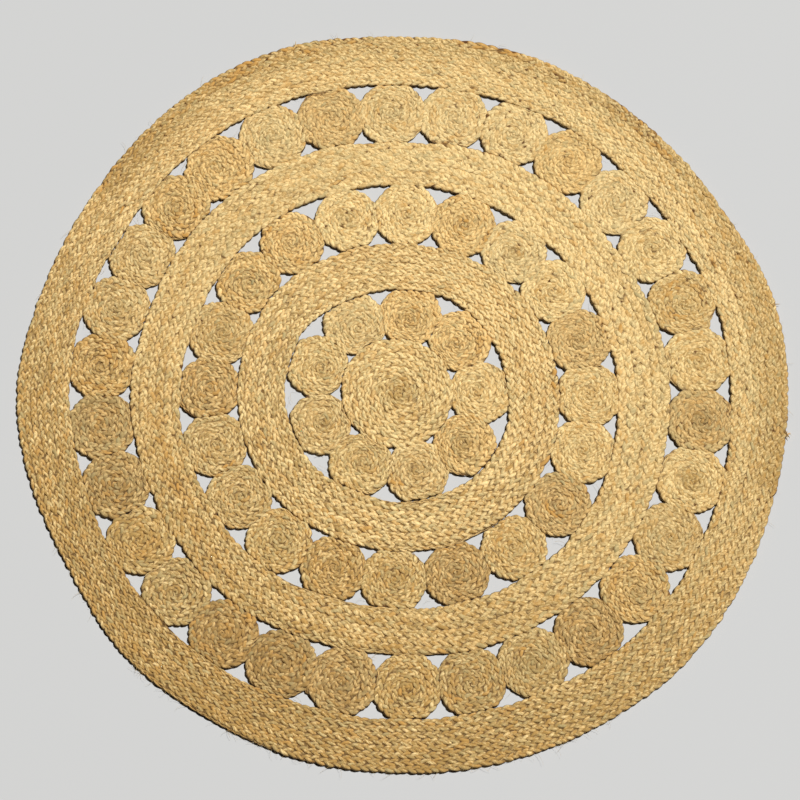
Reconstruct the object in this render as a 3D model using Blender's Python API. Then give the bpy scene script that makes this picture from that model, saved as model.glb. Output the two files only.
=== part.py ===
"""Round jute rug, sewn together from coiled braids that all lie in one flat layer.

A centre coil, three rings of small coils and three broad bands, each wound from flat braid.
Units are metres and +Z is up.  The rug lies on the plane Z = 0, origin under the middle of its outline.
Bearings are in degrees, anticlockwise from +X about the middle of the coiling.
"""

import math

import bmesh
import bpy
import numpy as np

# ---- driving dimensions ------------------------------------------------------------------------

THICKNESS = 0.0080        # of the flat braid
SEAM_GAP = 0.0003         # between two pieces that are sewn edge to edge
COURSE_DIP = 0.0014       # how far the seam between two courses of braid lies below their tops
SIDE_HEIGHT = 0.0036      # height at which the side of a course bulges most
EDGE_TUCK = 0.0012        # how far that side draws in underneath, where it meets the floor
COIL_COURSE = 0.0094      # width of one turn of braid in a small coil
COIL_COURSES = 2          # its outermost turns, which stand out one by one
CENTRE_COURSES = 8        # turns of braid in the centre coil
CENTRE_STEPS = 30         # points round the centre coil
SOFTNESS = 1.13           # a small coil's free radius over half the distance to its neighbour

# Radii in millimetres of the seven edges of the coiling, as uneven as they were sewn.
ROW_STEP = 15
EDGE_COLUMNS = ("centre_coil", "inner_in", "inner_out", "middle_in", "middle_out", "outer_in", "rim")
EDGE_ROWS = {
    # bearing: radii
    0: (80, 166, 247, 338, 419, 514, 606),
    15: (80, 164, 245, 336, 417, 515, 608),
    30: (81, 165, 246, 336, 413, 508, 594),
    45: (82, 167, 246, 336, 414, 509, 594),
    60: (83, 168, 246, 338, 419, 514, 599),
    75: (85, 169, 245, 340, 420, 512, 601),
    90: (87, 168, 246, 343, 415, 513, 597),
    105: (90, 169, 249, 345, 423, 518, 607),
    120: (94, 173, 252, 348, 425, 521, 608),
    135: (96, 179, 258, 349, 426, 519, 599),
    150: (97, 183, 259, 345, 424, 514, 592),
    165: (97, 183, 258, 345, 421, 519, 594),
    180: (96, 183, 258, 348, 426, 520, 605),
    195: (95, 182, 258, 348, 422, 514, 595),
    210: (94, 181, 259, 346, 420, 515, 587),
    225: (93, 180, 259, 350, 424, 517, 597),
    240: (92, 176, 257, 348, 422, 517, 594),
    255: (91, 173, 255, 343, 417, 514, 598),
    270: (89, 176, 255, 344, 417, 515, 598),
    285: (87, 175, 257, 347, 423, 517, 602),
    300: (86, 173, 257, 349, 425, 521, 606),
    315: (84, 176, 255, 350, 426, 526, 611),
    330: (82, 173, 253, 346, 424, 521, 606),
    345: (81, 170, 251, 341, 421, 518, 602),
}

BAND_COLUMNS = ("inside", "outside", "courses", "steps")
BANDS = {
    "inner_band": ("inner_in", "inner_out", 7, 48),
    "middle_band": ("middle_in", "middle_out", 6, 60),
    "outer_band": ("outer_in", "rim", 8, 72),
}

# The coils of a ring are evenly spaced but for two gentle waves of crowding: each coil is moved on by
# crowd_1 degrees times the cosine of its bearing from towards_1, and by crowd_2 times that of twice its
# bearing from towards_2.
RING_COLUMNS = ("inside", "outside", "coils", "first", "crowd_1", "towards_1", "crowd_2", "towards_2")
RINGS = {
    "inner_coil": ("centre_coil", "inner_in", 9, 1.7, 2.0, 115, 1.0, 72),
    "middle_coil": ("inner_out", "middle_in", 20, -1.3, 0.6, 56, 0.75, 151),
    "outer_coil": ("middle_out", "outer_in", 30, 7.1, 0.5, 107, 0.55, 107),
}
JOINED_EVERY = 10         # in the outer ring, each tenth coil and the next are one piece of sewing
JOIN_DEPTH = 0.0010       # how far two joined coils press into each other

LONGEST_REACH = 0.090     # no small coil's outline is further from its centre
WIDEST_PRESS = 80         # degrees to either side that one neighbour can press a coil flat
FACET_BOW = 0.00025       # how far a straight step of a coil's outline may stray from a round edge
INSIDE_ROOM = SEAM_GAP + FACET_BOW      # seam to the round edge that the coil lies against
OUTSIDE_ROOM = SEAM_GAP + 2 * FACET_BOW     # seam to the hollow edge round it, whose steps bow inwards

JUTE_TONES = {
    "straw": (0.62, 0.42, 0.17),
    "sand": (0.56, 0.39, 0.18),
    "tan": (0.53, 0.32, 0.11),
    "husk": (0.45, 0.31, 0.15),
}
JUTE_ROUGHNESS = 0.85

# Tone of the jute in each small coil, anticlockwise from the right.
RING_TONES = {
    "inner_coil": "straw tan tan sand straw sand straw sand tan",
    "middle_coil": "straw husk straw sand tan straw straw tan tan sand "
                   "husk sand sand straw tan straw husk straw husk straw",
    "outer_coil": "straw husk straw sand tan sand sand sand husk sand "
                  "tan tan sand sand tan husk husk straw sand husk "
                  "husk sand straw sand sand husk tan sand straw husk",
}


def named(columns, row):
    """A table's row as a dictionary of its named columns."""
    return dict(zip(columns, row))


# ---- edges of the coiling ----------------------------------------------------------------------

def edge_radius(edge, bearings):
    """Radius of a named edge at any bearings: a smooth closed curve through the table's rows."""
    column = EDGE_COLUMNS.index(edge)
    radii = np.array([row[column] for row in EDGE_ROWS.values()]) / 1000
    place = (np.asarray(bearings, float) % 360) / ROW_STEP
    row = np.floor(place).astype(int)
    t = place - row
    before, here, after, beyond = (radii[(row + k) % len(radii)] for k in (-1, 0, 1, 2))
    slope_here = (after - before) / 2
    slope_after = (beyond - here) / 2
    return (here * (2 * t**3 - 3 * t**2 + 1) + slope_here * (t**3 - 2 * t**2 + t)
            + after * (3 * t**2 - 2 * t**3) + slope_after * (t**3 - t**2))


def on_bearing(radius, bearing):
    """Plan points at a radius and bearing about the middle of the coiling."""
    angle = np.radians(bearing)
    return np.stack([radius * np.cos(angle), radius * np.sin(angle)], axis=-1)


def bearing_of(points):
    return np.degrees(np.arctan2(points[..., 1], points[..., 0]))


def crossing(inside, low, high, halvings=40):
    """Where a true-then-false test changes between low and high, found by halving, for whole arrays."""
    low, high = np.broadcast_arrays(np.asarray(low, float), np.asarray(high, float))
    for _ in range(halvings):
        middle = (low + high) / 2
        keep = inside(middle)
        low = np.where(keep, middle, low)
        high = np.where(keep, high, middle)
    return (low + high) / 2


# ---- closed bodies -----------------------------------------------------------------------------

def jute(name, tone):
    material = bpy.data.materials.new(name + "_jute")
    material.use_nodes = True
    shader = material.node_tree.nodes["Principled BSDF"]
    shader.inputs["Base Color"].default_value = (*JUTE_TONES[tone], 1.0)
    shader.inputs["Roughness"].default_value = JUTE_ROUGHNESS
    shader.inputs["Metallic"].default_value = 0.0
    material.diffuse_color = (*JUTE_TONES[tone], 1.0)
    return material


def solid(name, loops, closed, tone, parent):
    """A closed body skinned over a row of equal loops of points.

    With closed set, the last loop joins the first; otherwise both end loops are filled in flat.
    """
    mesh = bpy.data.meshes.new(name)
    work = bmesh.new()
    rings = [[work.verts.new(point) for point in loop] for loop in loops]
    pairs = zip(rings, rings[1:] + rings[:1]) if closed else zip(rings, rings[1:])
    for lower, upper in pairs:
        for i in range(len(lower)):
            j = (i + 1) % len(lower)
            work.faces.new((lower[i], lower[j], upper[j], upper[i]))
    if not closed:
        work.faces.new(rings[0][::-1])
        work.faces.new(rings[-1])
    bmesh.ops.recalc_face_normals(work, faces=work.faces)
    work.to_mesh(mesh)
    work.free()
    mesh.materials.append(jute(name, tone))
    body = bpy.data.objects.new(name, mesh)
    bpy.context.scene.collection.objects.link(body)
    body.parent = parent
    return body


def tops_and_seams(courses):
    """(courses in from the edge, height) over the top of each course and the seam after it."""
    levels = []
    for course in range(courses):
        levels += [(course + 0.5, THICKNESS), (course + 1.0, THICKNESS - COURSE_DIP)]
    return levels[:-1]


# ---- bands -------------------------------------------------------------------------------------

def band(name, parent):
    """A ring of braid courses, ribbed on top, between two uneven edges."""
    spec = named(BAND_COLUMNS, BANDS[name])
    bearings = np.arange(spec["steps"]) * 360 / spec["steps"]
    inner = edge_radius(spec["inside"], bearings)
    outer = edge_radius(spec["outside"], bearings)
    courses = spec["courses"]
    section = [(0.0, EDGE_TUCK, 0.0), (0.0, 0.0, SIDE_HEIGHT)]      # (share of width, tuck, height)
    section += [(place / courses, 0.0, height) for place, height in tops_and_seams(courses)]
    section += [(1.0, 0.0, SIDE_HEIGHT), (1.0, -EDGE_TUCK, 0.0)]
    loops = []
    for share, tuck, height in section:
        plan = on_bearing(inner + (outer - inner) * share + tuck, bearings)
        loops.append([(x, y, height) for x, y in plan])
    return solid(name, loops, closed=True, tone="straw", parent=parent)


# ---- coils -------------------------------------------------------------------------------------

def coil_solid(name, centre, reach, courses, width, tone, parent):
    """A coil as a stack of loops round its centre, over the side and the outermost courses.

    reach holds a plan vector from the centre to each point of the outline.  The loops grow rounder
    inwards, and the last one is filled in flat.
    """
    levels = [(EDGE_TUCK, 0.0), (0.0, SIDE_HEIGHT)]
    levels += [(place * width, height) for place, height in tops_and_seams(courses)]
    length = np.linalg.norm(reach, axis=1)
    loops = []
    for drawn_in, height in levels:
        roundness = drawn_in / length.mean()
        radius = (1 - roundness) * (length - drawn_in) + roundness * (length.mean() - drawn_in)
        plan = centre + reach * (radius / length)[:, None]
        loops.append([(x, y, height) for x, y in plan])
    return solid(name, loops, closed=False, tone=tone, parent=parent)


def centre_coil(parent):
    bearings = np.arange(CENTRE_STEPS) * 360 / CENTRE_STEPS
    outline = on_bearing(edge_radius("centre_coil", bearings), bearings)
    centre = outline.mean(axis=0)
    reach = outline - centre
    width = np.linalg.norm(reach, axis=1).mean() / CENTRE_COURSES
    return coil_solid("centre_coil", centre, reach, CENTRE_COURSES, width, "straw", parent)


def ring_bearings(spec):
    even = spec["first"] + np.arange(spec["coils"]) * 360 / spec["coils"]
    wave_1 = spec["crowd_1"] * np.cos(np.radians(even - spec["towards_1"]))
    wave_2 = spec["crowd_2"] * np.cos(np.radians(2 * (even - spec["towards_2"])))
    return even + wave_1 + wave_2


def ring_centres(spec):
    """Each coil lies midway between the two edges that it is sewn to."""
    bearings = ring_bearings(spec)
    inside = edge_radius(spec["inside"], bearings) + INSIDE_ROOM
    outside = edge_radius(spec["outside"], bearings) - OUTSIDE_ROOM
    return on_bearing((inside + outside) / 2, bearings)


def coil_outline(spec, centre, before, after, free_radius, press_before, press_after):
    """Plan vectors from a coil's centre round its outline: a soft circle pressed flat on four sides.

    It is pressed by the neighbours before and after it, halfway to their centres, and by the edges
    inside and outside it.  Where nothing presses, it keeps its free radius.
    """
    def heading(direction):
        return np.stack([np.cos(direction), np.sin(direction)], axis=-1)

    def to_neighbour(other, press):
        offset = other - centre
        span = np.linalg.norm(offset)
        normal = math.atan2(offset[1], offset[0])
        clear = span / 2 - SEAM_GAP / 2 + press
        return normal, lambda direction: clear / np.cos(direction - normal)

    def to_edge(edge, room, outward):
        normal = math.atan2(centre[1], centre[0]) + (0 if outward else math.pi)

        def distance(direction):
            def still_clear(length):
                point = centre + length[..., None] * heading(direction)
                limit = edge_radius(edge, bearing_of(point)) + (-room if outward else room)
                radius = np.linalg.norm(point, axis=-1)
                return radius < limit if outward else radius > limit
            return crossing(still_clear, np.zeros_like(direction), LONGEST_REACH)
        return normal, distance

    def corner(side, turn):
        """Direction at which the outline leaves the flat stretch of a side."""
        normal, distance = side
        widest = math.radians(WIDEST_PRESS)
        spread = crossing(lambda angle: distance(normal + turn * angle) < free_radius, 0.0, widest)
        return normal + turn * float(spread)

    outward = to_edge(spec["outside"], OUTSIDE_ROOM, True)
    inward = to_edge(spec["inside"], INSIDE_ROOM, False)
    forward = to_neighbour(after, press_after)
    backward = to_neighbour(before, press_before)

    # A side pressed against a round edge gets enough steps to follow it.
    edge_step = math.sqrt(8 * np.linalg.norm(centre) * FACET_BOW)
    inward_steps = math.ceil(free_radius * (corner(inward, 1) - corner(inward, -1)) / edge_step)

    # (side, steps along its flat stretch, points on the free arc after it)
    sides = ((outward, 2, 2), (forward, 1, 1), (inward, inward_steps, 1), (backward, 1, 2))
    reach = []
    for index, (side, steps, arc_points) in enumerate(sides):
        normal, distance = side
        start, end = corner(side, -1), corner(side, 1)
        directions = np.linspace(start, end, steps + 1)
        reach.extend(distance(directions)[:, None] * heading(directions))
        following = corner(sides[(index + 1) % len(sides)][0], -1)
        free = (following - end) % (2 * math.pi)
        for point in range(arc_points):
            direction = end + free * (point + 1) / (arc_points + 1)
            reach.append(free_radius * heading(direction))
    return np.array(reach)


def join(first, second, name):
    """Makes one body of two coils that are pressed into each other."""
    second.hide_render = True
    second.display_type = "WIRE"
    union = first.modifiers.new("sewn_to_next", "BOOLEAN")
    union.operation = "UNION"
    union.object = second
    first.name = name


def ring_of_coils(name, parent):
    spec = named(RING_COLUMNS, RINGS[name])
    tones = RING_TONES[name].split()
    centres = ring_centres(spec)
    count = len(centres)
    spans = np.linalg.norm(centres - np.roll(centres, 1, axis=0), axis=1)
    free_radius = SOFTNESS * spans.mean() / 2
    joined = set(range(0, count, JOINED_EVERY)) if name == "outer_coil" else set()
    coils = []
    for index, centre in enumerate(centres):
        reach = coil_outline(
            spec, centre, centres[index - 1], centres[(index + 1) % count], free_radius,
            press_before=JOIN_DEPTH if index - 1 in joined else 0.0,
            press_after=JOIN_DEPTH if index in joined else 0.0,
        )
        label = f"{name}_{index + 1:02d}"
        coils.append(coil_solid(label, centre, reach, COIL_COURSES, COIL_COURSE, tones[index], parent))
    for index in joined:
        join(coils[index], coils[index + 1], f"{name}s_{index + 1:02d}_{index + 2:02d}")


# ---- the rug -----------------------------------------------------------------------------------

def rug_middle():
    """An empty that carries the whole coiling, placed so that its outline is centred on the origin."""
    bearings = np.arange(BANDS["outer_band"][3]) * 360 / BANDS["outer_band"][3]
    rim = on_bearing(edge_radius("rim", bearings), bearings)
    x, y = -(rim.min(axis=0) + rim.max(axis=0)) / 2
    middle = bpy.data.objects.new("rug_middle", None)
    middle.location = (x, y, 0.0)
    bpy.context.scene.collection.objects.link(middle)
    return middle


def main():
    for old in list(bpy.data.objects):
        bpy.data.objects.remove(old, do_unlink=True)
    middle = rug_middle()
    centre_coil(middle)
    ring_of_coils("inner_coil", middle)
    band("inner_band", middle)
    ring_of_coils("middle_coil", middle)
    band("middle_band", middle)
    ring_of_coils("outer_coil", middle)
    band("outer_band", middle)


main()
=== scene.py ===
"""Looks of the round jute rug: each coil and band is plaited from three jute strands.

Lengths are metres and bearings are degrees, anticlockwise from +X.  Shades count how light a strand
is: each takes it PER_SHADE of the way from its tone's dark colour to its light one.
"""

import math

import bpy
import numpy as np
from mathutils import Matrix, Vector


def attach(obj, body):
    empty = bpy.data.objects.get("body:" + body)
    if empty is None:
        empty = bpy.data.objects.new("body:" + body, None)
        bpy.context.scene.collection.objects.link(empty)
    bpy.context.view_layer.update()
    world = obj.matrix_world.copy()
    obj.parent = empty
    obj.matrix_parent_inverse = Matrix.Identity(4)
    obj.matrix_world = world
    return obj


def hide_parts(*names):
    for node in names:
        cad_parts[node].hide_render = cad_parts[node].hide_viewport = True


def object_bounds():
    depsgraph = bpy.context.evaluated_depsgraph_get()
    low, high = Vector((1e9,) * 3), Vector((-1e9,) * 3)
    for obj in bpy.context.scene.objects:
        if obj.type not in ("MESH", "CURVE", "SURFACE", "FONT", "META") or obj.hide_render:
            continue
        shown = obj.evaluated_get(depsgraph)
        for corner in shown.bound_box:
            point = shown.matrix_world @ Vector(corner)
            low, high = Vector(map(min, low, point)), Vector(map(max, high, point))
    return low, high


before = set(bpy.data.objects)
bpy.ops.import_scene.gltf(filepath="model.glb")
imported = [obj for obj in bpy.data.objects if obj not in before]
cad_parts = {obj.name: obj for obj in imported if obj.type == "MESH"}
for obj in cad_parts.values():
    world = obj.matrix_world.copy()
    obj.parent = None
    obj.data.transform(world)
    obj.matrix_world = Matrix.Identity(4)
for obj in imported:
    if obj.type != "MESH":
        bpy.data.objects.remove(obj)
cad_low, cad_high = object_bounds()

# ---- driving dimensions ------------------------------------------------------------------------

THICKNESS = cad_high.z            # of the flat braid, as the rug lies on the floor
SIDE_HEIGHT = 0.0036              # height at which the side of a course bulges most
PERIOD = 0.0405                   # length in which a strand of the broad braid returns to its place
COIL_PERIOD = 0.0345              # and of the narrower braid of the small coils
STRANDS = 3

# Corners of a strand's section, as shares of its half width across and of its half height up: flat
# on top, with bulging sides and a rounded keel.
SECTION = np.array(((1.0, 0.0), (0.52, 1.0), (-0.52, 1.0), (-1.0, 0.0), (0.0, -1.0)))
SIDES = len(SECTION)

# How each kind of piece is wound: turns of braid, degrees over which the braid's first end widens
# and its last end narrows, the braid's period, and steps along one period.
WINDING_COLUMNS = ("courses", "opening", "closing", "period", "steps")
WINDINGS = {
    "centre_coil": (8, 300, 60, PERIOD, 11),
    "inner_coil": (5, 300, 90, COIL_PERIOD, 10),
    "inner_band": (7, 60, 60, PERIOD, 11),
    "middle_coil": (5, 300, 90, COIL_PERIOD, 10),
    "middle_band": (6, 50, 50, PERIOD, 11),
    "outer_coil": (5, 300, 90, COIL_PERIOD, 10),
    "outer_band": (8, 40, 40, PERIOD, 11),
}

# Tone of each small coil, anticlockwise from the right, and those that are darkest at their heart.
RING_TONES = {
    "inner_coil": ("straw", "tan", "tan", "sand", "straw", "sand", "straw", "sand", "tan"),
    "middle_coil": (
        "straw", "husk", "straw", "sand", "tan", "straw", "straw", "tan", "tan", "sand",
        "husk", "sand", "sand", "straw", "tan", "straw", "husk", "straw", "husk", "straw",
    ),
    "outer_coil": (
        "straw", "husk", "straw", "sand", "tan", "sand", "sand", "sand", "husk", "sand",
        "tan", "tan", "sand", "sand", "tan", "husk", "husk", "straw", "sand", "husk",
        "husk", "sand", "straw", "sand", "sand", "husk", "tan", "sand", "straw", "husk",
    ),
}
DARK_HEARTS = {
    "inner_coil": (3, 6, 9),
    "middle_coil": (2, 4, 7, 10, 16, 20),
    "outer_coil": (1, 17, 23, 25, 29, 30),
}
# Shades between the tones, for the second coil of a joined pair, which has the finish of the first.
TONE_SHADES = {"straw": 0.9, "sand": 0.4, "tan": 0.0, "husk": -1.0}

# Light and dark colour of a strand in each tone.
TONES = {
    "band": ((1.00, 0.742, 0.345), (0.410, 0.248, 0.072)),
    "straw": ((1.00, 0.748, 0.348), (0.443, 0.270, 0.080)),
    "sand": ((0.96, 0.718, 0.338), (0.410, 0.262, 0.086)),
    "tan": ((0.96, 0.672, 0.285), (0.393, 0.228, 0.062)),
    "husk": ((0.86, 0.595, 0.250), (0.336, 0.202, 0.062)),
}


def named(columns, row):
    """A table's row as a dictionary of its named columns."""
    return dict(zip(columns, row))


# ---- outlines read from the solids -------------------------------------------------------------

LEVEL_WITHIN = 1e-5                       # of SIDE_HEIGHT
TOUCHING_GAP, OPEN_GAP = 0.0006, 0.0030   # between neighbours that press together, and that do not
PRESSED_ROOM, FREE_ROOM = -0.0001, 0.0017       # kept for the lobes that stand out past the edge
EASED_OVER = 3                            # degrees to either side
SEAM_SHARE = 0.06                         # of a joined pair's half width, kept by both coils
COIL_SOFTENING, BAND_SOFTENING = 6, 3     # degrees to either side
BAND_REACH = 0.15                         # radius past which an outline is a band's
BAND_PLAN_STEP, COIL_PLAN_STEP = 0.1, 1.0       # degrees
POINTS_AT_ONCE = 4000


def side_points(node):
    """Plan points of a solid at the height where its sides bulge most, each once."""
    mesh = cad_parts[node].data
    points = np.empty(len(mesh.vertices) * 3, np.float32)
    mesh.vertices.foreach_get("co", points)
    points = points.reshape(-1, 3)
    level = points[np.abs(points[:, 2] - SIDE_HEIGHT) < LEVEL_WITHIN]
    return np.unique(np.round(level[:, :2].astype(float), 6), axis=0)


class Outline:
    """A closed outline as a radius at each whole degree about a centre, softened a little.

    Between two corners a and b of the solid's outline, the radius towards the unit vector u is where
    u meets the straight line from a to b: (a x b) / (u x (b - a)).  A bell-shaped moving average over
    `softening` degrees to either side then rounds the corners.  `outwards` is -1 for an inner edge.
    """

    def __init__(self, points, centre, softening, outwards=1):
        self.centre, self.outwards = centre, outwards
        reach = points - centre
        bearings = np.degrees(np.arctan2(reach[:, 1], reach[:, 0])) % 360
        order = np.argsort(bearings)
        reach, bearings = reach[order], bearings[order]
        degrees = np.arange(360.0)
        after = np.searchsorted(bearings, degrees, side="right") % len(bearings)
        a, b = reach[after - 1], reach[after]
        u = np.stack([np.cos(np.radians(degrees)), np.sin(np.radians(degrees))], axis=1)
        along = b - a
        crossed = u[:, 0] * along[:, 1] - u[:, 1] * along[:, 0]
        self.radius = rounded((a[:, 0] * b[:, 1] - a[:, 1] * b[:, 0]) / crossed, softening)

    def at(self, bearings):
        """Radius at any bearings."""
        return np.interp(bearings, np.arange(360.0), self.radius, period=360)

    def plan(self, step):
        """Plan points, one every `step` degrees."""
        bearings = np.arange(0.0, 360.0, step)
        angle = np.radians(bearings)
        towards = np.stack([np.cos(angle), np.sin(angle)], axis=1)
        return self.centre + self.at(bearings)[:, None] * towards

    def gap_to(self, others):
        """How far each whole degree of this outline is from the nearest of other outlines' points."""
        own = self.plan(1.0)
        furthest = self.radius.max() + 2 * OPEN_GAP
        near = others[np.linalg.norm(others - self.centre, axis=1) < furthest]
        gap = np.full(len(own), OPEN_GAP)
        for chunk in np.array_split(near, 1 + len(near) // POINTS_AT_ONCE):
            apart = np.linalg.norm(own[:, None, :] - chunk[None, :, :], axis=2)
            if apart.size:
                gap = np.minimum(gap, apart.min(axis=1))
        return gap

    def ease(self, gap):
        """Presses the edge into its neighbours where they touch, and draws it in where it is free."""
        free = np.clip((gap - TOUCHING_GAP) / (OPEN_GAP - TOUCHING_GAP), 0, 1)
        room = rounded(PRESSED_ROOM + (FREE_ROOM - PRESSED_ROOM) * free, EASED_OVER)
        self.radius = self.radius - self.outwards * room


def rounded(around, degrees):
    """A closed run of numbers, each averaged with its neighbours under a bell."""
    bell = 1 + np.cos(np.linspace(-math.pi, math.pi, 2 * degrees + 3)[1:-1])
    padded = np.concatenate([around[-degrees:], around, around[:degrees]])
    return np.convolve(padded, bell / bell.sum(), mode="valid")


def coil_numbers(node):
    """Numbers of the coils in a solid: one, or two where a pair is joined."""
    return [int(word) for word in node.split("_") if word.isdigit()]


def read_outlines():
    """For each solid, a list of (inner outline or None, outer outline), one for each braid in it.

    Two coils that were pressed together are parted again at the bearing midway between them.
    """
    found = {}
    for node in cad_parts:
        points = side_points(node)
        if node.endswith("_band"):
            reach = np.linalg.norm(points, axis=1)
            halfway = (reach.min() + reach.max()) / 2
            inner = Outline(points[reach < halfway], np.zeros(2), BAND_SOFTENING, outwards=-1)
            found[node] = [(inner, Outline(points[reach > halfway], np.zeros(2), BAND_SOFTENING))]
            continue
        groups = [points]
        if len(coil_numbers(node)) == 2:
            bearings = np.degrees(np.arctan2(points[:, 1], points[:, 0]))
            middle = math.degrees(math.atan2(*points.mean(axis=0)[::-1]))
            past = (bearings - middle + 180) % 360 - 180
            seam = SEAM_SHARE * np.abs(past).max()
            groups = [points[past < seam], points[past > -seam]]
        found[node] = [(None, Outline(group, group.mean(axis=0), COIL_SOFTENING)) for group in groups]
    edges = [edge for pairs in found.values() for pair in pairs for edge in pair if edge is not None]
    plans = [edge.plan(BAND_PLAN_STEP if edge.radius.min() > BAND_REACH else COIL_PLAN_STEP)
             for edge in edges]
    gaps = [edge.gap_to(np.concatenate(plans[:i] + plans[i + 1:])) for i, edge in enumerate(edges)]
    for edge, gap in zip(edges, gaps):
        edge.ease(gap)
    return found


# ---- the braid ---------------------------------------------------------------------------------

WINDING_STEP = 0.5                # degrees

# Form of the plait.
RISE = 0.0014                     # of a strand above and below the middle of the braid
EDGE_LIFT = 0.60                  # of RISE, where the strand turns round at the braid's edge
LEAN = math.radians(14)           # so that a strand is at its highest a little early
REACH = 0.70                      # of half the course, so that neighbouring courses mesh
WIDE = 0.60                       # half a strand's width, of half the course
FULLNESS, FULLER_ON_TOP = 0.93, 0.10      # of the strand's section
WIDER_IF_EVEN = 0.30
THINNEST_END = 0.05               # of the full width
LOWEST = 0.0001                   # above the floor
EVENER_TOWARDS = (0.85, 0.85)     # share of rise and shades lost, to the metre
LEAST_EVEN, EVENEST = -0.30, 0.65

# Random runs along the plait: periods from one knot to the next, and their spread.
TIGHTER = (2.5, 0.20)             # periods
WIDER = (1.5, 0.05)               # of the width
WANDERING = (1.5, 0.0003)
PULLED = (0.6, 0.035)             # periods
UNEVEN_LOBES = ((0.25, 0.00055), (0.25, 0.00030), (0.25, 0.09))   # sideways, upward, of the section
STAINS = (1.3, 1.0)
DULLED = (5, 0.5)                 # shades
LIGHTER = (3, 0.5)                # shades
WARMER = (6, 1.0)

# Shades of the plait, and its warmth, which turns it to orange or, below nought, to grey-green.
LOBE_SHADES, LOBE_WARMTHS = 1.0, 1.2      # spread from lobe to lobe
# Painted light: shades added where a strand lies on top, and painted shade where it dives under.
LIT_ON_TOP = 0.8
PAINTED_LIGHT_TOWARDS = (2.6, 5.9)        # painted light, in shades to the metre, paler towards the upper right
PALER_MIDDLE, MIDDLE_REACH = 0.85, 0.35   # at the middle; none at this radius, and darker past it
PALEST_SHARE = 0.7                # of the shades above the middling one
HUB_SHARE = 0.45                  # of the way across, darker than the rest
HUB_DARKER, HUB_COOLER = 2.2, 0.3
SPOT_STRENGTHS = (0.0, 0.0, 0.5, 1.1)     # of a stain, drawn for each lobe
SPOT_DARKER, SPOT_WARMER = 0.4, 5.5
FLECKED, STAIN_FLECKS = 0.14, 0.8         # share of the lobes with a dark end, and added in a stain
FLECK_STRENGTHS = (0.35, 1.0)
STRAND_APART = 7.0                # metres of streaks between one strand and the next


def smooth_random(rng, count, per_knot, spread):
    """A random run of numbers: straight lines between random knots that are `per_knot` apart."""
    knots = rng.normal(0.0, spread, int(count / per_knot) + 3)
    return np.interp(np.arange(count) / per_knot, np.arange(len(knots)), knots)


def courses_between(inside, outside, winding, start):
    """Middle line of one braid wound round and round from an inner edge to an outer one.

    After t degrees of lap k the braid's middle lies (opening + k - 1/2) courses out from the inner
    edge, and that count over the number of courses at this bearing is its share of the way across.
    Its first end widens from nothing while its last end narrows to nothing, so both edges stay round.
    Returns plan points at equal steps and, for each, the outward direction, half the braid's width,
    the length run so far, and the share of the way across.
    """
    turns = winding["courses"]
    turned = np.arange(0.0, 360 * turns + winding["closing"], WINDING_STEP)
    lap = np.floor(turned / 360).astype(int)
    since = turned - 360 * lap
    opened = np.minimum(1.0, since / winding["opening"])
    closed = np.maximum(0.0, 1.0 - since / winding["closing"])
    width = np.where(lap == 0, opened, np.where(lap == turns, closed, 1.0))
    place = np.where(lap == 0, opened / 2,
                     np.where(lap == turns, opened + turns - 1 + closed / 2, opened + lap - 0.5))
    across = opened + turns - 1 + closed
    bearings = start + turned

    def radius(share):
        share = np.maximum(share, 0.0)
        far = outside.at(bearings)
        if inside is None:      # a coil grows rounder towards its centre
            mean = outside.radius.mean()
            return share * mean + share**2 * (far - mean)
        near = inside.at(bearings)
        return near + (far - near) * share

    inner_side = radius((place - width / 2) / across)
    outer_side = radius((place + width / 2) / across)
    middle = (inner_side + outer_side) / 2
    angle = np.radians(bearings)
    line = outside.centre + middle[:, None] * np.stack([np.cos(angle), np.sin(angle)], axis=1)
    run = np.concatenate([[0.0], np.cumsum(np.linalg.norm(np.diff(line, axis=0), axis=1))])
    count = int(run[-1] / winding["period"] * winding["steps"])
    even = np.linspace(0.0, run[-1], count + 1)
    points = np.stack([np.interp(even, run, line[:, i]) for i in (0, 1)], axis=1)
    half_width = np.interp(even, run, (outer_side - inner_side) / 2)
    forward = np.gradient(points, axis=0)
    forward /= np.linalg.norm(forward, axis=1)[:, None]
    outward = np.stack([forward[:, 1], -forward[:, 0]], axis=1)
    return {"points": points, "outward": outward, "half_width": half_width, "run": even,
            "share": np.interp(even, run, place / across)}


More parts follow.
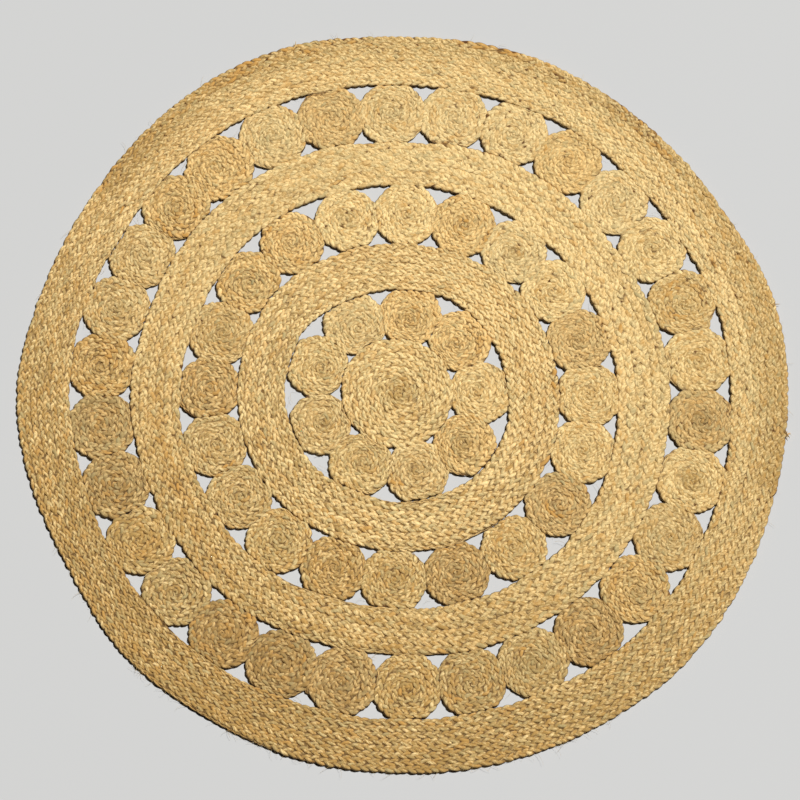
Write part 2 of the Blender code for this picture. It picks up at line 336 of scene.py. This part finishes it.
def plait(course, winding, rng, core=0.0, stained=2.0, shade=0.0, calm=0.0):
    """The strands of a flat braid along its middle line, as rings of points round each strand.

    With p the strand's place in its period as an angle, the strand lies REACH half widths times
    sin(p) to the side of the middle line and rises by RISE (sin(2p + LEAN) + EDGE_LIFT sin(p)^4), so
    it passes over one neighbour and under the next; it rises less where the plait is even.  It is
    fullest where it lies on top, from just before the middle line nearly to the edge, and painted
    lightest there: a painted highlight, with painted shade where it dives under.
    The strands follow one another a third of a turn apart.
    Random runs make the plait tighter or looser, let the course wander, and make each lobe its own
    size and place.  The plait is more even towards the far right, and by `calm` everywhere; `core`
    darkens its inner turns, `stained` is how rare its stains are, and `shade` lightens all of it.
    Returns an array of shape (strands, rings, sides, 3) and each ring's looks.
    """
    count = len(course["run"])

    def random_run(periods, spread):
        return smooth_random(rng, count, periods * winding["steps"], spread)

    slim = np.clip(course["half_width"] / np.median(course["half_width"]), THINNEST_END, 1.0)
    from_middle = np.linalg.norm(course["points"], axis=1)
    # Painted light: paler towards the upper right, where the light comes from; also paler at the
    # middle.
    paler = (course["points"] @ np.array(PAINTED_LIGHT_TOWARDS)
             + PALER_MIDDLE * (1 - (from_middle / MIDDLE_REACH) ** 2))
    paler = np.minimum(paler, PALEST_SHARE * paler)
    even = np.clip(course["points"] @ np.array(EVENER_TOWARDS) + calm, LEAST_EVEN, EVENEST)
    hub = core * np.clip(1 - course["share"] / HUB_SHARE, 0, 1)
    stain = np.clip(random_run(*STAINS) - stained, 0, 1)
    dulled = random_run(*DULLED)
    turned = course["run"] / winding["period"] + random_run(*TIGHTER)
    half_width = course["half_width"] * (1 + random_run(*WIDER))
    wander = random_run(*WANDERING) * slim
    middle = course["points"] + course["outward"] * wander[:, None]
    all_rings, looks = [], []
    for strand in range(STRANDS):
        pulled = random_run(*PULLED)
        place = 2 * math.pi * (turned + pulled + strand / STRANDS)
        lobe = np.floor(place / (math.pi / 2)).astype(int)
        lobe -= lobe.min()
        over = np.sin(2 * place + LEAN)
        aside, raised, swollen = (random_run(*uneven) for uneven in UNEVEN_LOBES)
        sideways = half_width * REACH * np.sin(place) + aside * slim
        plan = middle + course["outward"] * sideways[:, None]
        lifted = over + EDGE_LIFT * np.sin(place) ** 4
        rise = (RISE * (1 - even) * lifted + raised) * np.sqrt(slim)
        line = np.column_stack([plan, THICKNESS / 2 + rise])
        forward = np.gradient(line, axis=0)
        forward /= np.linalg.norm(forward, axis=1)[:, None]
        side = np.cross(forward, (0.0, 0.0, 1.0))
        side /= np.linalg.norm(side, axis=1)[:, None]
        up = np.cross(side, forward)
        fullness = FULLNESS + FULLER_ON_TOP * over + swollen
        wide = half_width * WIDE * fullness * (1 + WIDER_IF_EVEN * np.maximum(even, 0))
        tall = (THICKNESS / 2 - RISE) * fullness * np.sqrt(slim)
        ring = (line[:, None, :]
                + side[:, None, :] * (wide[:, None] * SECTION[:, 0])[..., None]
                + up[:, None, :] * (tall[:, None] * SECTION[:, 1])[..., None])
        ring[..., 2] = np.maximum(ring[..., 2], LOWEST)
        all_rings.append(ring)
        lobes = lobe.max() + 1
        # Random shades for each lobe, plus painted light on top and painted shade where the strand
        # dives under.
        light = (rng.normal(0.0, LOBE_SHADES, lobes)[lobe] * (1 - even) ** 2
                 + random_run(*LIGHTER) + LIT_ON_TOP * (1 - even) * over)
        warm = rng.normal(0.0, LOBE_WARMTHS, lobes)[lobe] + random_run(*WARMER)
        drawn, depth = rng.random(lobes)[lobe], rng.uniform(*FLECK_STRENGTHS, lobes)[lobe]
        spotted = stain * rng.choice(SPOT_STRENGTHS, lobes)[lobe]
        looks.append({
            "light": light + dulled + paler + shade - HUB_DARKER * hub - SPOT_DARKER * spotted,
            "warm": warm - HUB_COOLER * hub + SPOT_WARMER * spotted,
            "fleck": (drawn < FLECKED + STAIN_FLECKS * stain) * depth,
            "run": course["run"] + strand * STRAND_APART,
        })
    return np.array(all_rings), looks


YARN_ALONG = 1 / 0.014            # a streak is about 14 mm long
YARN_AROUND = 2.6                 # and 1 mm across
YARN_TWIST = 2 * math.pi / 0.030
STRAND_ROUND = 0.015              # round a strand
RINGS_TO_PERIOD = 10              # about
MAP_MARGIN = 0.06                 # of a row of the baking map
CAP_SPREAD = 0.4                  # of a cap's cell in the baking map


def strand_mesh(name, plaits):
    """One mesh of closed strands: quads between neighbouring rings, and a flat cap at either end.

    plaits holds (rings, looks) pairs from plait().  The baking map unrolls the strands side by side:
    the rings of all strands follow one another along rows that fill a square.
    """
    vertices, quads, caps, ring_of_quad, side_of_quad = [], [], [], [], []
    light, warm, fleck, crest, yarn = [], [], [], [], []
    first_vertex, first_ring = 0, 0
    for rings, looks in plaits:
        for strand, look in enumerate(looks):
            ring = rings[strand]
            count = len(ring)
            corner = first_vertex + np.arange(count * SIDES).reshape(count, SIDES)
            ahead = np.roll(corner, -1, axis=1)
            walls = np.stack([corner[:-1], corner[1:], ahead[1:], ahead[:-1]], axis=-1)
            quads.append(walls.reshape(-1, 4))
            caps += [corner[0], corner[-1][::-1]]
            steps, sides = np.meshgrid(np.arange(count - 1), np.arange(SIDES), indexing="ij")
            ring_of_quad.append(first_ring + steps.ravel())
            side_of_quad.append(sides.ravel())
            vertices.append(ring.reshape(-1, 3))
            for column, key in ((light, "light"), (warm, "warm"), (fleck, "fleck")):
                column.append(np.repeat(look[key], SIDES))
            crest.append(ring[..., 2].ravel() / THICKNESS * 2 - 1)
            twist = look["run"][:, None] * YARN_TWIST + np.arctan2(SECTION[:, 1], SECTION[:, 0])
            yarn.append(np.stack([np.repeat(look["run"][:, None] * YARN_ALONG, SIDES, axis=1),
                                  YARN_AROUND * np.cos(twist), YARN_AROUND * np.sin(twist)],
                                 axis=-1).reshape(-1, 3))
            first_vertex += count * SIDES
            first_ring += count - 1
    quads = np.concatenate(quads)
    ring_of_quad, side_of_quad = np.concatenate(ring_of_quad), np.concatenate(side_of_quad)

    # Rows of the baking map: as many strand lengths as make it square, the last row for the caps.
    rows = max(2, int(round(math.sqrt(first_ring * PERIOD / RINGS_TO_PERIOD / STRAND_ROUND))))
    per_row = math.ceil(first_ring / rows)
    row, step = ring_of_quad // per_row, ring_of_quad % per_row
    height = 1.0 / (rows + 1)
    low = row * height + height * (MAP_MARGIN + (1 - 2 * MAP_MARGIN) * side_of_quad / SIDES)
    high = row * height + height * (MAP_MARGIN + (1 - 2 * MAP_MARGIN) * (side_of_quad + 1) / SIDES)
    left, right = step / per_row, (step + 1) / per_row
    quad_map = np.stack([np.stack([left, low], -1), np.stack([right, low], -1),
                         np.stack([right, high], -1), np.stack([left, high], -1)], axis=1)
    cell = 1.0 / len(caps)
    turn = 2 * math.pi * np.arange(SIDES) / SIDES
    spread = np.stack([np.cos(turn) * cell, np.sin(turn) * height], -1) * CAP_SPREAD
    cap_map = [spread + ((i + 0.5) * cell, 1 - height / 2) for i in range(len(caps))]

    mesh = bpy.data.meshes.new(name)
    corners = np.concatenate([quads.ravel(), np.concatenate(caps)]).astype(np.int32)
    starts = np.concatenate([np.arange(len(quads)) * 4,
                             len(quads) * 4 + np.arange(len(caps)) * SIDES])
    vertices = np.concatenate(vertices)
    mesh.vertices.add(len(vertices))
    mesh.vertices.foreach_set("co", vertices.astype(np.float32).ravel())
    mesh.loops.add(len(corners))
    mesh.loops.foreach_set("vertex_index", corners)
    mesh.polygons.add(len(starts))
    mesh.polygons.foreach_set("loop_start", starts.astype(np.int32))
    smooth = np.arange(len(starts)) < len(quads)
    mesh.update(calc_edges=True)
    mesh.polygons.foreach_set("use_smooth", smooth)
    spots = np.concatenate([quad_map.reshape(-1, 2), np.concatenate(cap_map)]).astype(np.float32)
    mesh.uv_layers.new(name="OFBake").data.foreach_set("uv", spots.ravel())
    for key, values in (("light", light), ("warm", warm), ("fleck", fleck), ("crest", crest)):
        mesh.attributes.new(key, "FLOAT", "POINT").data.foreach_set(
            "value", np.concatenate(values).astype(np.float32))
    mesh.attributes.new("yarn", "FLOAT_VECTOR", "POINT").data.foreach_set(
        "vector", np.concatenate(yarn).astype(np.float32).ravel())
    return mesh


# ---- finishes ----------------------------------------------------------------------------------

class Wire:
    """A number that a material's nodes work out; sums and products with it add Math nodes."""

    def __init__(self, finish, socket):
        self.finish, self.socket = finish, socket

    def combine(self, operation, first, second):
        node = self.finish.add("ShaderNodeMath", {"operation": operation}, {0: first, 1: second})
        return Wire(self.finish, node.outputs[0])

    def __add__(self, other):
        return self.combine("ADD", self, other)

    def __sub__(self, other):
        return self.combine("SUBTRACT", self, other)

    def __rsub__(self, other):
        return self.combine("SUBTRACT", other, self)

    def __mul__(self, other):
        return self.combine("MULTIPLY", self, other)

    def __pow__(self, other):
        return self.combine("POWER", self, other)

    def clamped(self):
        return self.combine("MINIMUM", self.combine("MAXIMUM", self, 0.0), 1.0)

    __radd__ = __add__
    __rmul__ = __mul__


class Finish:
    """A material in the making."""

    def __init__(self, name):
        self.material = bpy.data.materials.new(name)
        self.material.use_nodes = True
        self.tree = self.material.node_tree
        self.shader = self.tree.nodes["Principled BSDF"]

    def add(self, kind, settings=None, sockets=None):
        """Adds a node: its settings are set first, then its sockets to values or wires."""
        node = self.tree.nodes.new(kind)
        for key, value in (settings or {}).items():
            setattr(node, key, value)
        for key, value in (sockets or {}).items():
            self.feed(node.inputs[key], value)
        return node

    def feed(self, socket, value):
        if isinstance(value, Wire):
            self.tree.links.new(value.socket, socket)
        else:
            socket.default_value = value

    def attribute(self, name, output="Fac"):
        return Wire(self, self.add("ShaderNodeAttribute", {"attribute_name": name}).outputs[output])

    def noise(self, vector, scale, detail):
        node = self.add("ShaderNodeTexNoise", None,
                        {"Vector": vector, "Scale": scale, "Detail": detail})
        return Wire(self, node.outputs["Fac"])

    def scaled(self, vector, factors):
        node = self.add("ShaderNodeVectorMath", {"operation": "MULTIPLY"}, {0: vector, 1: factors})
        return Wire(self, node.outputs["Vector"])

    def dot(self, vector, other):
        node = self.add("ShaderNodeVectorMath", {"operation": "DOT_PRODUCT"}, {0: vector, 1: other})
        return Wire(self, node.outputs["Value"])

    def mixed(self, factor, first, second):
        """Colour `first`, with `second` over it as far as the factor says."""
        node = self.add("ShaderNodeMix", {"data_type": "RGBA"}, {0: factor, 6: first, 7: second})
        return Wire(self, node.outputs[2])

    def bumped(self, height, distance):
        node = self.add("ShaderNodeBump", None, {"Height": height, "Distance": distance})
        return Wire(self, node.outputs["Normal"])

    def dress(self, **values):
        """Feeds the shader's sockets, named with _ for a space, and gives the finished material."""
        for key, value in values.items():
            self.feed(self.shader.inputs[key.replace("_", " ")], value)
        return self.material


def opaque(colour):
    return (*colour, 1.0)


ORANGE = (0.58, 0.31, 0.075)
GREY_GREEN = (0.43, 0.345, 0.155)
# Painted shade in the crevices; the same brown also colours the dark streaks along the fibres.
CREVICE_SHADE_AND_STREAKS = (0.25, 0.135, 0.045)
UNDERSIDE_SHADE = (0.20, 0.115, 0.045)          # painted shade on the strands' lower halves, down inside the braids
# Dark specks of the jute, painted only low down where a strand dives under, so partly painted shade.
FLECK_AND_CREVICE_SHADE = (0.12, 0.048, 0.010)
MIDDLING, PER_SHADE = 0.475, 0.104        # of the way from the dark colour to the light one
PER_WARMTH = 0.16                         # of the way to orange or to grey-green
BUNDLE_STRETCH, BUNDLED = (2.6, 0.55, 0.55), 1.6      # of the streaks, and strength in the tone
FIBRE_STRETCH, FIBRED = (0.8, 3.0, 3.0), 1.0
STREAKED, STREAKS_WARMER = 1.0, 5.0
CREVICE_SHADE_SHARE, LIGHTER_IN_CREVICE = 0.42, 0.10        # painted shade in the crevices, and how much less of it where the strand is lighter
DARK_STREAKS_PAST, DARK_STREAKS_STEEP, DARK_STREAKS = 0.70, 9.0, 0.55
UNDERSIDE_SHADE_STEEP = 2.0
FLECKS_BELOW, FLECKS_STEEP = 0.72, 6.0
STREAK_HEIGHT, FIBRE_HEIGHT = 0.4, 0.6
JUTE_BUMP = 0.0006


def jute(tone):
    """Dry jute strand: streaked along its fibres, each lobe lighter or darker, with painted shade in
    the crevices and on the lower half of each strand, and dark flecks painted as shade where a
    strand dives under.

    `crest` runs from -1 at the floor to about 1 on top of the braid.
    """
    finish = Finish("jute_" + tone)
    light_colour, dark_colour = TONES[tone]
    light, warm = finish.attribute("light"), finish.attribute("warm")
    fleck, crest = finish.attribute("fleck"), finish.attribute("crest")
    yarn = finish.attribute("yarn", "Vector")
    bundles = finish.noise(finish.scaled(yarn, BUNDLE_STRETCH), 1.0, detail=0.0)
    streaks = finish.noise(yarn, 1.0, detail=1.0)
    fibres = finish.noise(finish.scaled(yarn, FIBRE_STRETCH), 1.0, detail=1.5)
    colour = finish.mixed((MIDDLING + PER_SHADE * light + (bundles - 0.5) * BUNDLED
                           + (streaks - 0.5) * STREAKED + (fibres - 0.5) * FIBRED).clamped(),
                          opaque(dark_colour), opaque(light_colour))
    warm = warm + (streaks - 0.5) * STREAKS_WARMER
    colour = finish.mixed((warm * PER_WARMTH).clamped(), colour, opaque(ORANGE))
    colour = finish.mixed((warm * -PER_WARMTH).clamped(), colour, opaque(GREY_GREEN))
    # Painted shade: the strand is mixed towards brown the lower it lies, down in the crevices.
    shade = (1 - crest) ** 3 * (CREVICE_SHADE_SHARE - LIGHTER_IN_CREVICE * light).clamped()
    colour = finish.mixed(shade.clamped(), colour, opaque(CREVICE_SHADE_AND_STREAKS))
    dark_streaks = ((streaks - DARK_STREAKS_PAST) * DARK_STREAKS_STEEP).clamped() * DARK_STREAKS
    colour = finish.mixed(dark_streaks, colour, opaque(CREVICE_SHADE_AND_STREAKS))
    # Painted shade on the lower half of each strand.
    colour = finish.mixed((crest * -UNDERSIDE_SHADE_STEEP).clamped(), colour, opaque(UNDERSIDE_SHADE))
    # Dark flecks, drawn at random and more in stains, painted as shade low in the crevices.
    low = ((FLECKS_BELOW - crest) * FLECKS_STEEP).clamped()
    colour = finish.mixed(fleck * low, colour, opaque(FLECK_AND_CREVICE_SHADE))
    height = streaks * STREAK_HEIGHT + fibres * FIBRE_HEIGHT
    return finish.dress(Base_Color=colour, Roughness=0.82, Specular_IOR_Level=0.25,
                        Sheen_Weight=0.08, Normal=finish.bumped(height, JUTE_BUMP))


PACKED_DARK, PACKED_LIGHT = (0.16, 0.090, 0.030), (0.64, 0.44, 0.18)
PACKED_GRAIN = 260.0                      # spots to the metre, about
PACKED_MIDDLING, PACKED_CONTRAST = 0.52, 2.4
PACKED_PAINTED_LIGHT_TOWARDS = (0.5, 0.7)         # painted light, paler towards the upper right, to the metre
PACKED_BUMP = 0.0020


def packed_finish():
    """Jute seen only at the bottom of the crevices, in spots a few millimetres wide."""
    finish = Finish("packed_jute")
    place = Wire(finish, finish.add("ShaderNodeTexCoord").outputs["Object"])
    grain = finish.noise(place, PACKED_GRAIN, detail=3.0)
    # Painted light: paler towards the upper right, where the light comes from.
    paler = finish.dot(place, (*PACKED_PAINTED_LIGHT_TOWARDS, 0.0))
    colour = finish.mixed(((grain - 0.5) * PACKED_CONTRAST + PACKED_MIDDLING + paler).clamped(),
                          opaque(PACKED_DARK), opaque(PACKED_LIGHT))
    return finish.dress(Base_Color=colour, Roughness=0.9, Specular_IOR_Level=0.2,
                        Normal=finish.bumped(grain, PACKED_BUMP))


# ---- pieces ------------------------------------------------------------------------------------

def fitted(name, mesh, tone, nodes):
    """A finished piece on the rug, standing for some of its solids."""
    mesh.materials.append(FINISHES[tone])
    piece = bpy.data.objects.new(name, mesh)
    bpy.context.scene.collection.objects.link(piece)
    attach(piece, "root")
    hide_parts(*nodes)
    return piece


COILS_DULLER = 0.30                       # shades
COILS_PAINTED_LIGHT = {"inner_coil": 0.6, "middle_coil": 0.5, "outer_coil": 0.2}      # painted light, in shades, on the side of the ring at this bearing, and painted shade opposite
COILS_LIT_BEARING = math.radians(50)           # side of the ring at this bearing
DARK_HEART, PALE_HEART, CENTRE_HEART = 2.2, 1.2, 2.4
COILS_STAINED_PAST = {"straw": 1.6, "sand": 1.6, "tan": 0.8, "husk": 0.8}     # more is rarer
COILS_CALM = {"straw": 0.25, "sand": 0.30, "tan": -0.05, "husk": -0.05}       # more is more even


def small_coils(ring, seed):
    """The coils of one ring, each wound from a bearing of its own; a joined pair is one piece."""
    pieces = []
    winding = named(WINDING_COLUMNS, WINDINGS[ring])
    for node in sorted(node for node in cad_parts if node.startswith(ring)):
        plaits = []
        for number, (inside, outside) in zip(coil_numbers(node), OUTLINES[node]):
            rng = np.random.default_rng(seed + number)
            course = courses_between(inside, outside, winding, rng.uniform(0, 360))
            heart = DARK_HEART if number in DARK_HEARTS[ring] else PALE_HEART
            tone, own_tone = (RING_TONES[ring][n - 1] for n in (coil_numbers(node)[0], number))
            bearing = math.atan2(*outside.centre[::-1])
            shade = TONE_SHADES[own_tone] - TONE_SHADES[tone] - COILS_DULLER
            # Painted light on the side of the ring towards the light, painted shade on the far side.
            shade += COILS_PAINTED_LIGHT[ring] * math.cos(bearing - COILS_LIT_BEARING)
            plaits.append(plait(course, winding, rng, core=heart, shade=shade,
                                stained=COILS_STAINED_PAST[own_tone], calm=COILS_CALM[own_tone]))
        name = node + "_braid"
        pieces.append(fitted(name, strand_mesh(name, plaits), tone, [node]))
    return pieces


def centre_coil(start, seed):
    """The coil in the middle, of the broad braid."""
    winding = named(WINDING_COLUMNS, WINDINGS["centre_coil"])
    course = courses_between(*OUTLINES["centre_coil"][0], winding, start)
    plaits = [plait(course, winding, np.random.default_rng(seed), core=CENTRE_HEART)]
    mesh = strand_mesh("centre_coil_braid", plaits)
    return [fitted("centre_coil_braid", mesh, "straw", ["centre_coil"])]


STAINED_PAST = {"inner_band": 1.1, "middle_band": 1.8, "outer_band": 1.8}     # more is rarer
BAND_CALM = {"inner_band": -0.20, "middle_band": 0.32, "outer_band": -0.02}   # more is more even

# Stained stretches of the outer band: from and to which bearing, past which share of the way
# across, and how rare a stain is there.
RIM_STAINS = ((-15, 145, 0.74, 0.45), (82, 102, 0.82, 0.1), (98, 150, 0.90, -0.5))
RIM_DARK_BEARINGS = (-15, 145)
RIM_DARKER = 2.9                          # shades, past 0.8 of the way across, and fewer from 0.3


def band(node, start, parts, seed):
    """A ring of courses between two edges, as one piece or as stretches of the same long braid."""
    winding = named(WINDING_COLUMNS, WINDINGS[node])
    course = courses_between(*OUTLINES[node][0], winding, start)
    stained, shade = STAINED_PAST[node], 0.0
    if node == "outer_band":
        bearing = np.degrees(np.arctan2(course["points"][:, 1], course["points"][:, 0]))
        for first, last, past, rarity in RIM_STAINS:
            there = (course["share"] > past) & (bearing > first) & (bearing < last)
            stained = np.where(there, rarity, stained)
        dark = (bearing > RIM_DARK_BEARINGS[0]) & (bearing < RIM_DARK_BEARINGS[1])
        shade = -RIM_DARKER * dark * np.clip(2 * course["share"] - 0.6, 0, 1)
    rings, looks = plait(course, winding, np.random.default_rng(seed), stained=stained, shade=shade,
                         calm=BAND_CALM[node])
    cuts = np.linspace(0, rings.shape[1] - 1, parts + 1).astype(int)
    pieces = []
    for part, (low, high) in enumerate(zip(cuts, cuts[1:])):
        stretch = slice(low, high + 1)
        part_looks = [{key: value[stretch] for key, value in look.items()} for look in looks]
        name = f"{node}_braid" + (f"_{part + 1}" if parts > 1 else "")
        mesh = strand_mesh(name, [(rings[:, stretch], part_looks)])
        pieces.append(fitted(name, mesh, "band", [node]))
    return pieces


ROUND_RIM, FRONT_RIM, SCATTERED = 170, 150, 700     # loose ends all round, in front, and on top
FRONT_BEARINGS = (225, 305)
RIM_INSET = 0.004                         # mean
FIBRE_LENGTHS, FIBRE_HALVES = (0.008, 0.024), (0.00009, 0.00018)      # long, and half as thick
FIBRE_TURN = 38                           # degrees, spread about the way along the braid
RIM_ROOTS, TOP_ROOT = (0.0030, 0.0065), 0.0066      # heights
FIBRE_LIFTS, FIBRE_DROPS = (0.0008, 0.0022), (0, 0.0012)
FIBRE_TAPER = 0.67
FIBRE_RINGS = 6
FIBRE_SECTION = ((1, -0.6), (0, 1.2), (-1, -0.6))
TUFTS = ((13.9, 0.0005, 14), (-6.4, -0.0012, 9), (106.6, 0.0002, 7))  # bearing, inset, threads
TUFT_SPREAD = 0.0012
TUFT_LENGTHS, TUFT_HALVES, TUFT_ROOTS = (0.005, 0.009), (0.0004, 0.0008), (0.0050, 0.0070)
TUFT_BROWNS = (0.7, 1.0)
FIBRE_STREAKS = 90.0                      # to the metre


def stray_fibres(seed):
    """Loose ends of jute: thin three-sided threads at the rim and, in greater number, on top.

    A thread starts at a place and in a direction; at the share t of its length it has turned by
    bend * t, and its height is root + lift * 4 t (1 - t) - drop * t^2.  Its section is a triangle
    that shrinks to a third of its size at the tip.
    """
    rng = np.random.default_rng(seed)
    rim = OUTLINES["outer_band"][0][1]
    at_rim = ROUND_RIM + FRONT_RIM
    count = at_rim + SCATTERED
    bearings = np.concatenate([rng.uniform(0, 360, ROUND_RIM), rng.uniform(*FRONT_BEARINGS, FRONT_RIM)])
    inwards = np.concatenate([rng.exponential(RIM_INSET, at_rim), np.zeros(SCATTERED)])
    bearings = np.concatenate([bearings, rng.uniform(0, 360, SCATTERED)])
    reach = rim.at(bearings) - inwards
    reach[at_rim:] = np.sqrt(rng.uniform(0.01, 1.0, SCATTERED)) * 0.97 * reach[at_rim:]
    along = bearings + 90 * rng.choice([-1, 1], count)
    heading = np.radians(along + rng.normal(0, FIBRE_TURN, count))
    length = rng.uniform(*FIBRE_LENGTHS, count)
    thick = rng.uniform(*FIBRE_HALVES, count)
    root = np.where(np.arange(count) < at_rim, rng.uniform(*RIM_ROOTS, count), TOP_ROOT)
    brown = np.zeros(count)
    for bearing, inset, threads in TUFTS:
        bearings = np.concatenate([bearings, np.full(threads, bearing)])
        reach = np.concatenate([reach, rim.at(bearing) - inset + rng.normal(0, TUFT_SPREAD, threads)])
        heading = np.concatenate([heading, rng.uniform(0, 2 * math.pi, threads)])
        length = np.concatenate([length, rng.uniform(*TUFT_LENGTHS, threads)])
        thick = np.concatenate([thick, rng.uniform(*TUFT_HALVES, threads)])
        root = np.concatenate([root, rng.uniform(*TUFT_ROOTS, threads)])
        brown = np.concatenate([brown, rng.uniform(*TUFT_BROWNS, threads)])
    count = len(bearings)
    angle = np.radians(bearings)
    share = np.linspace(0, 1, FIBRE_RINGS)
    turned = heading[:, None] + rng.normal(0, 1.0, count)[:, None] * share
    step = length[:, None] / (FIBRE_RINGS - 1) * np.stack([np.cos(turned), np.sin(turned)])
    plan = np.cumsum(step, axis=2) - step[:, :, :1]
    plan += (reach * np.stack([np.cos(angle), np.sin(angle)]))[:, :, None]
    height = (root[:, None] + rng.uniform(*FIBRE_LIFTS, count)[:, None] * 4 * share * (1 - share)
              - rng.uniform(*FIBRE_DROPS, count)[:, None] * share**2)
    line = np.stack([plan[0], plan[1], height], axis=-1)
    forward = np.gradient(line, axis=1)
    forward /= np.linalg.norm(forward, axis=2)[..., None]
    side = np.cross(forward, (0.0, 0.0, 1.0))
    side /= np.linalg.norm(side, axis=2)[..., None]
    up = np.cross(side, forward)
    size = thick[:, None] * (1 - FIBRE_TAPER * share**2)
    ring = np.stack([line + size[..., None] * (a * side + b * up) for a, b in FIBRE_SECTION], axis=2)
    index = np.arange(count * FIBRE_RINGS * 3).reshape(count, FIBRE_RINGS, 3)
    after = np.roll(index, -1, axis=2)
    walls = np.stack([index[:, :-1], index[:, 1:], after[:, 1:], after[:, :-1]], axis=-1)
    faces = walls.reshape(-1, 4).tolist() + index[:, 0].tolist() + index[:, -1, ::-1].tolist()
    mesh = bpy.data.meshes.new("stray_fibres")
    mesh.from_pydata(ring.reshape(-1, 3), [], faces)
    for key, values in (("light", rng.normal(0.8, 1.0, count)), ("warm", rng.normal(0.0, 0.8, count)),
                        ("fleck", brown), ("crest", np.ones(count))):
        mesh.attributes.new(key, "FLOAT", "POINT").data.foreach_set(
            "value", np.repeat(values, FIBRE_RINGS * 3))
    mesh.attributes.new("yarn", "FLOAT_VECTOR", "POINT").data.foreach_set(
        "vector", (ring.reshape(-1, 3) * FIBRE_STREAKS).astype(np.float32).ravel())
    return [fitted("stray_fibres", mesh, "straw", ["outer_band"])]


PACKED_INSET = 0.0025                     # from the outline of the braids
PACKED_LOW, PACKED_HIGH = 0.0022, 0.0056  # its lower and its upper face
PACKED_STEPS = {"coil": 9.0, "band": 2.0}       # degrees
HUB = 0.0002


def packed_jute():
    """The hearts of the braids, where their strands press together: a closed island in each outline.

    An island is a ring of four corners (inner low, outer low, outer high, inner high) carried round
    the outline; a coil's inner corners meet the centre of the coil, a hair's breadth from it.
    """
    vertices, quads, first = [], [], 0
    for inside, outside in [pair for pairs in OUTLINES.values() for pair in pairs]:
        step = PACKED_STEPS["coil" if inside is None else "band"]
        angle = np.radians(np.arange(0.0, 360.0, step))
        count = len(angle)
        inner = np.full(count, HUB) if inside is None else inside.at(np.degrees(angle)) + PACKED_INSET
        outer = outside.at(np.degrees(angle)) - PACKED_INSET
        ring = np.empty((count, 4, 3))
        for corner, (reach, height) in enumerate(
                ((inner, PACKED_LOW), (outer, PACKED_LOW), (outer, PACKED_HIGH), (inner, PACKED_HIGH))):
            ring[:, corner, 0] = outside.centre[0] + reach * np.cos(angle)
            ring[:, corner, 1] = outside.centre[1] + reach * np.sin(angle)
            ring[:, corner, 2] = height
        index = first + np.arange(count * 4).reshape(count, 4)
        after = np.roll(index, -1, axis=0)
        walls = np.stack([index, after, np.roll(after, -1, axis=1), np.roll(index, -1, axis=1)],
                         axis=-1)
        quads.append(walls.reshape(-1, 4))
        vertices.append(ring.reshape(-1, 3))
        first += count * 4
    mesh = bpy.data.meshes.new("packed_jute")
    mesh.from_pydata(np.concatenate(vertices), [], np.concatenate(quads))
    mesh.materials.append(packed_finish())
    body = bpy.data.objects.new("packed_jute", mesh)
    bpy.context.scene.collection.objects.link(body)
    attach(body, "root")
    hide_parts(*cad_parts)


# ---- surroundings ------------------------------------------------------------------------------

FLOOR = (0.534, 0.534, 0.526)
FLOOR_SIZE = 90.0                         # so that it reaches the horizon in a low view
SKY_COLOUR, SKY_STRENGTH = (0.93, 0.965, 1.0), 0.010
SUN_STRENGTH, SUN_ANGLE = 4.2, math.radians(4)
SUN_TOWARDS = Vector((0.370, 0.289, 0.883))
CAMERA_ELEVATION = 74.61
CAMERA_DISTANCE = 4.687
CAMERA_LENS = 134.7
CAMERA_FAR = 100.0
COILING_MIDDLE = Vector((-0.0014, -0.0010, 0.0))
AIM = Vector((-0.0036, -0.0106, 0.0))


def floor():
    bpy.ops.mesh.primitive_plane_add(size=FLOOR_SIZE)
    plane = bpy.context.object
    plane.name = "floor"
    finish = Finish("pale_floor")
    plane.data.materials.append(finish.dress(Base_Color=opaque(FLOOR), Roughness=0.7))


def lights():
    world = bpy.data.worlds.new("studio")
    bpy.context.scene.world = world
    world.use_nodes = True
    sky = world.node_tree.nodes["Background"].inputs
    sky["Color"].default_value = opaque(SKY_COLOUR)
    sky["Strength"].default_value = SKY_STRENGTH
    sun = bpy.data.lights.new("key", "SUN")
    sun.energy = SUN_STRENGTH
    sun.angle = SUN_ANGLE
    lamp = bpy.data.objects.new("key", sun)
    bpy.context.scene.collection.objects.link(lamp)
    lamp.rotation_euler = SUN_TOWARDS.to_track_quat("Z", "Y").to_euler()


def camera():
    lens = bpy.data.cameras.new("camera")
    lens.lens = CAMERA_LENS
    lens.clip_end = CAMERA_FAR
    eye = bpy.data.objects.new("camera", lens)
    bpy.context.scene.collection.objects.link(eye)
    rise = math.radians(CAMERA_ELEVATION)
    eye.location = COILING_MIDDLE + CAMERA_DISTANCE * Vector((0.0, -math.cos(rise), math.sin(rise)))
    eye.rotation_euler = (eye.location - AIM).to_track_quat("Z", "Y").to_euler()
    bpy.context.scene.camera = eye


# ---- the rug -----------------------------------------------------------------------------------

# Each ring's seed; each band's first bearing, its number of meshes, and its seed.
COIL_SEEDS = {"inner_coil": 100, "middle_coil": 200, "outer_coil": 300}
BANDS = {"inner_band": (250.0, 1, 11), "middle_band": (235.0, 1, 12), "outer_band": (215.0, 2, 13)}

FINISHES = {tone: jute(tone) for tone in TONES}
OUTLINES = read_outlines()


def main():
    pieces = centre_coil(200.0, 5)
    for ring, seed in COIL_SEEDS.items():
        pieces += small_coils(ring, seed)
    for node, (start, parts, seed) in BANDS.items():
        pieces += band(node, start, parts, seed)
    pieces += stray_fibres(21)
    packed_jute()
    floor()
    lights()
    camera()
    bpy.context.scene.view_settings.view_transform = "Standard"


main()
